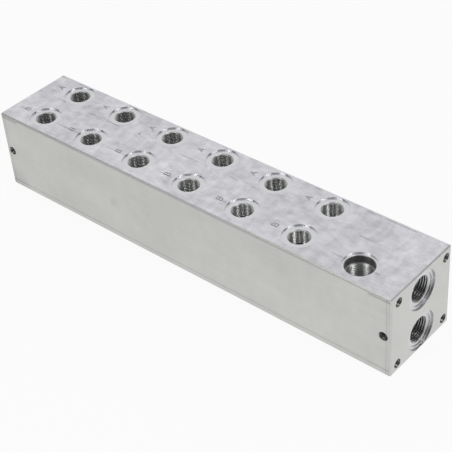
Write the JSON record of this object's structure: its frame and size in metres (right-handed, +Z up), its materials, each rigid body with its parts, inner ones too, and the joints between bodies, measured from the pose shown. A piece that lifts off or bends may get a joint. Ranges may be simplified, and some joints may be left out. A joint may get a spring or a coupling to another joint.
{
  "type": "hydraulic manifold block",
  "caption": "Long milled aluminium bar with two rows of threaded hose ports on top, stacked galleries with ports at the ends, and a relief valve cavity.",
  "frame": {"origin": "middle of the underside, on the plane it rests on", "axes": "+X along the bar towards the end with the relief valve cavity, +Y towards the valve faces, +Z up out of the hose ports"},
  "size_m": [0.371, 0.0684, 0.068],
  "materials": {
    "block": "milled faces with fine cutter marks, bright turned spotfaces"
  },
  "bodies": {
    "root": {"manifold_block": "block"}
  },
  "joints": []
}
